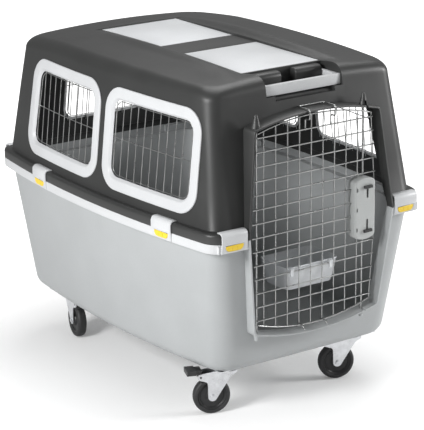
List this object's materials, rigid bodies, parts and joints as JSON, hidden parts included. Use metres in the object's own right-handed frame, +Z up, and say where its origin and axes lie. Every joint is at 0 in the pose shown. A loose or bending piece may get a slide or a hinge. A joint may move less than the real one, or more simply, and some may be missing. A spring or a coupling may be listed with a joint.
{
  "type": "pet travel crate",
  "caption": "Rolling pet travel crate: grey tray and dark cover clipped together, with a latched wire door, barred side windows, roof lids, carry handle and swivel castors.",
  "frame": {"origin": "on the floor, under the middle of the overall size, with the castors down", "axes": "+Z up, X across the crate, Y along it with the door towards -Y"},
  "size_m": [0.73, 1.0438, 0.8736],
  "materials": {
    "cover_dark": "fine moulded grain",
    "tray_grey": "fine moulded grain",
    "pale_plastic": "smooth satin",
    "bright_wire": "bright plated wire",
    "zinc": "bright zinc plate",
    "black_plastic": "satin",
    "tyre": "matt",
    "yellow_plastic": "gloss",
    "bowl_plastic": "milky, half clear"
  },
  "bodies": {
    "crate": {"lower_tray": "tray_grey", "upper_cover": "cover_dark", "window_frame_left_front": "pale_plastic", "window_frame_left_rear": "pale_plastic", "window_frame_right_front": "pale_plastic", "window_frame_right_rear": "pale_plastic", "window_frame_rear": "pale_plastic", "window_grille_left_front": "bright_wire", "window_grille_left_rear": "bright_wire", "window_grille_right_front": "bright_wire", "window_grille_right_rear": "bright_wire", "window_grille_rear": "bright_wire", "castor_plate_front_left": "zinc", "castor_plate_front_right": "zinc", "castor_plate_rear_left": "zinc", "castor_plate_rear_right": "zinc"},
    "door": {"door_grille": "bright_wire", "door_hinge_rod": "bright_wire", "latch_housing": "pale_plastic", "latch_back_cover": "pale_plastic", "upper_latch_spring": "bright_wire", "lower_latch_spring": "bright_wire"},
    "upper_bolt": {"upper_latch_trigger": "black_plastic", "upper_latch_bolt": "bright_wire"},
    "lower_bolt": {"lower_latch_trigger": "black_plastic", "lower_latch_bolt": "bright_wire"},
    "bowl": {"water_bowl": "bowl_plastic"},
    "handle": {"carry_handle": "pale_plastic"},
    "front_lid": {"front_roof_lid": "pale_plastic"},
    "rear_lid": {"rear_roof_lid": "pale_plastic"},
    "clip_left_front": {"rim_clip_left_front": "pale_plastic"},
    "button_left_front": {"clip_button_left_front": "yellow_plastic"},
    "clip_left_rear": {"rim_clip_left_rear": "pale_plastic"},
    "button_left_rear": {"clip_button_left_rear": "yellow_plastic"},
    "clip_right_front": {"rim_clip_right_front": "pale_plastic"},
    "button_right_front": {"clip_button_right_front": "yellow_plastic"},
    "clip_right_rear": {"rim_clip_right_rear": "pale_plastic"},
    "button_right_rear": {"clip_button_right_rear": "yellow_plastic"},
    "clip_front_left": {"rim_clip_front_left": "pale_plastic"},
    "button_front_left": {"clip_button_front_left": "yellow_plastic"},
    "clip_front_right": {"rim_clip_front_right": "pale_plastic"},
    "button_front_right": {"clip_button_front_right": "yellow_plastic"},
    "clip_rear_left": {"rim_clip_rear_left": "pale_plastic"},
    "button_rear_left": {"clip_button_rear_left": "yellow_plastic"},
    "clip_rear_right": {"rim_clip_rear_right": "pale_plastic"},
    "button_rear_right": {"clip_button_rear_right": "yellow_plastic"},
    "fork_front_left": {"castor_fork_front_left": "zinc", "castor_axle_front_left": "zinc"},
    "wheel_front_left": {"castor_wheel_front_left": "tyre"},
    "brake_front_left": {"brake_pedal_front_left": "black_plastic"},
    "fork_front_right": {"castor_fork_front_right": "zinc", "castor_axle_front_right": "zinc"},
    "wheel_front_right": {"castor_wheel_front_right": "tyre"},
    "fork_rear_left": {"castor_fork_rear_left": "zinc", "castor_axle_rear_left": "zinc"},
    "wheel_rear_left": {"castor_wheel_rear_left": "tyre"},
    "brake_rear_left": {"brake_pedal_rear_left": "black_plastic"},
    "fork_rear_right": {"castor_fork_rear_right": "zinc", "castor_axle_rear_right": "zinc"},
    "wheel_rear_right": {"castor_wheel_rear_right": "tyre"}
  },
  "joints": [
    {"name": "door_hinge", "type": "hinge", "parent": "crate", "child": "door", "pos_m": [-0.178, -0.4842, 0.492], "axis": [0, 0, -1], "range_deg": [0, 98]},
    {"name": "upper_bolt_slide", "type": "slide", "parent": "door", "child": "upper_bolt", "axis": [0, 0, -1], "range_m": [0, 0.026], "stiffness_N_per_m": 150, "springref_m": -0.02, "deforming": ["upper_latch_spring"]},
    {"name": "lower_bolt_slide", "type": "slide", "parent": "door", "child": "lower_bolt", "axis": [0, 0, 1], "range_m": [0, 0.026], "stiffness_N_per_m": 150, "springref_m": -0.02, "deforming": ["lower_latch_spring"]},
    {"name": "bowl_lift", "type": "slide", "parent": "door", "child": "bowl", "axis": [0, 0, 1], "range_m": [0, 0.018]},
    {"name": "handle_hinge", "type": "hinge", "parent": "crate", "child": "handle", "pos_m": [0, -0.368, 0.831], "axis": [-1, 0, 0], "range_deg": [0, 85]},
    {"name": "front_lid_hinge", "type": "hinge", "parent": "crate", "child": "front_lid", "pos_m": [0, -0.085, 0.8525], "axis": [-1, 0, 0], "range_deg": [0, 95]},
    {"name": "rear_lid_hinge", "type": "hinge", "parent": "crate", "child": "rear_lid", "pos_m": [0, 0.033, 0.8525], "axis": [1, 0, 0], "range_deg": [0, 95]},
    {"name": "clip_left_front_hinge", "type": "hinge", "parent": "crate", "child": "clip_left_front", "pos_m": [-0.34522, -0.32469, 0.4715], "axis": [0.1028, -0.9947, 0], "range_deg": [0, 95]},
    {"name": "button_left_front_press", "type": "slide", "parent": "clip_left_front", "child": "button_left_front", "axis": [0.9947, 0.1028, 0], "range_m": [0, 0.0015], "stiffness_N_per_m": 800, "springref_m": -0.001},
    {"name": "clip_left_rear_hinge", "type": "hinge", "parent": "crate", "child": "clip_left_rear", "pos_m": [-0.35239, 0.24577, 0.4715], "axis": [-0.078, -0.997, 0], "range_deg": [0, 95]},
    {"name": "button_left_rear_press", "type": "slide", "parent": "clip_left_rear", "child": "button_left_rear", "axis": [0.997, -0.078, 0], "range_m": [0, 0.0015], "stiffness_N_per_m": 800, "springref_m": -0.001},
    {"name": "clip_right_front_hinge", "type": "hinge", "parent": "crate", "child": "clip_right_front", "pos_m": [0.34522, -0.32469, 0.4715], "axis": [0.1028, 0.9947, 0], "range_deg": [0, 95]},
    {"name": "button_right_front_press", "type": "slide", "parent": "clip_right_front", "child": "button_right_front", "axis": [-0.9947, 0.1028, 0], "range_m": [0, 0.0015], "stiffness_N_per_m": 800, "springref_m": -0.001},
    {"name": "clip_right_rear_hinge", "type": "hinge", "parent": "crate", "child": "clip_right_rear", "pos_m": [0.35239, 0.24577, 0.4715], "axis": [-0.078, 0.997, 0], "range_deg": [0, 95]},
    {"name": "button_right_rear_press", "type": "slide", "parent": "clip_right_rear", "child": "button_right_rear", "axis": [-0.997, -0.078, 0], "range_m": [0, 0.0015], "stiffness_N_per_m": 800, "springref_m": -0.001},
    {"name": "clip_front_left_hinge", "type": "hinge", "parent": "crate", "child": "clip_front_left", "pos_m": [-0.26693, -0.51379, 0.4715], "axis": [0.9997, -0.024, 0], "range_deg": [0, 95]},
    {"name": "button_front_left_press", "type": "slide", "parent": "clip_front_left", "child": "button_front_left", "axis": [0.024, 0.9997, 0], "range_m": [0, 0.0015], "stiffness_N_per_m": 800, "springref_m": -0.001},
    {"name": "clip_front_right_hinge", "type": "hinge", "parent": "crate", "child": "clip_front_right", "pos_m": [0.26693, -0.51379, 0.4715], "axis": [0.9997, 0.024, 0], "range_deg": [0, 95]},
    {"name": "button_front_right_press", "type": "slide", "parent": "clip_front_right", "child": "button_front_right", "axis": [-0.024, 0.9997, 0], "range_m": [0, 0.0015], "stiffness_N_per_m": 800, "springref_m": -0.001},
    {"name": "clip_rear_left_hinge", "type": "hinge", "parent": "crate", "child": "clip_rear_left", "pos_m": [-0.26693, 0.51379, 0.4715], "axis": [-0.9997, -0.024, 0], "range_deg": [0, 95]},
    {"name": "button_rear_left_press", "type": "slide", "parent": "clip_rear_left", "child": "button_rear_left", "axis": [0.024, -0.9997, 0], "range_m": [0, 0.0015], "stiffness_N_per_m": 800, "springref_m": -0.001},
    {"name": "clip_rear_right_hinge", "type": "hinge", "parent": "crate", "child": "clip_rear_right", "pos_m": [0.26693, 0.51379, 0.4715], "axis": [-0.9997, 0.024, 0], "range_deg": [0, 95]},
    {"name": "button_rear_right_press", "type": "slide", "parent": "clip_rear_right", "child": "button_rear_right", "axis": [-0.024, -0.9997, 0], "range_m": [0, 0.0015], "stiffness_N_per_m": 800, "springref_m": -0.001},
    {"name": "swivel_front_left", "type": "hinge", "parent": "crate", "child": "fork_front_left", "pos_m": [-0.2, -0.39, 0.116], "axis": [0, 0, 1], "continuous": true},
    {"name": "roll_front_left", "type": "hinge", "parent": "fork_front_left", "child": "wheel_front_left", "pos_m": [-0.23894, -0.37427, 0.048], "axis": [0.3746, 0.9272, 0], "continuous": true},
    {"name": "brake_front_left_press", "type": "hinge", "parent": "fork_front_left", "child": "brake_front_left", "pos_m": [-0.26676, -0.36303, 0.1024], "axis": [-0.3746, -0.9272, 0], "range_deg": [0, 18]},
    {"name": "swivel_front_right", "type": "hinge", "parent": "crate", "child": "fork_front_right", "pos_m": [0.2, -0.39, 0.116], "axis": [0, 0, 1], "continuous": true},
    {"name": "roll_front_right", "type": "hinge", "parent": "fork_front_right", "child": "wheel_front_right", "pos_m": [0.16106, -0.37427, 0.048], "axis": [0.3746, 0.9272, 0], "continuous": true},
    {"name": "swivel_rear_left", "type": "hinge", "parent": "crate", "child": "fork_rear_left", "pos_m": [-0.212, 0.34, 0.116], "axis": [0, 0, 1], "continuous": true},
    {"name": "roll_rear_left", "type": "hinge", "parent": "fork_rear_left", "child": "wheel_rear_left", "pos_m": [-0.22073, 0.29892, 0.048], "axis": [-0.9781, 0.2079, 0], "continuous": true},
    {"name": "brake_rear_left_press", "type": "hinge", "parent": "fork_rear_left", "child": "brake_rear_left", "pos_m": [-0.22697, 0.26957, 0.1024], "axis": [0.9781, -0.2079, 0], "range_deg": [0, 18]},
    {"name": "swivel_rear_right", "type": "hinge", "parent": "crate", "child": "fork_rear_right", "pos_m": [0.212, 0.34, 0.116], "axis": [0, 0, 1], "continuous": true},
    {"name": "roll_rear_right", "type": "hinge", "parent": "fork_rear_right", "child": "wheel_rear_right", "pos_m": [0.18791, 0.3056, 0.048], "axis": [-0.8192, 0.5736, 0], "continuous": true}
  ]
}
